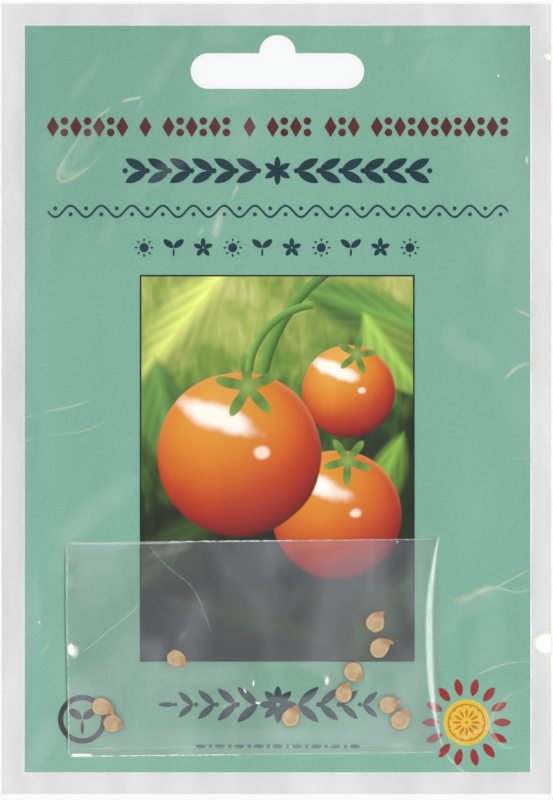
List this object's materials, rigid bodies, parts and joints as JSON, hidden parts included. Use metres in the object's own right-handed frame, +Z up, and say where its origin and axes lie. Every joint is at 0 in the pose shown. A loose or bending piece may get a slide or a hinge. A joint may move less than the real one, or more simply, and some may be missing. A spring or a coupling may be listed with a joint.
{
  "type": "seed packet",
  "caption": "Flat seed packet with a hang slot: a printed card and a clear sachet of pepper seeds, sealed in a clear film sleeve.",
  "frame": {"origin": "the middle of the sleeve's underside, which the packet lies on", "axes": "+X to the right of the printed front, +Y along the packet towards the hang slot, +Z up, out of the front"},
  "size_m": [0.1014, 0.146, 0.0032],
  "materials": {
    "sleeve_film": "clear, glossy film with soft creases",
    "card": "teal green print on smooth white card stock",
    "sachet_film": "clear, slightly milky film",
    "seed": "dry, matt seed coat, tan with an orange beak"
  },
  "bodies": {
    "root": {"sleeve": "sleeve_film", "card": "card", "sachet": "sachet_film", "seed_01": "seed", "seed_02": "seed", "seed_03": "seed", "seed_04": "seed", "seed_05": "seed", "seed_06": "seed", "seed_07": "seed", "seed_08": "seed", "seed_09": "seed", "seed_10": "seed"}
  },
  "joints": []
}
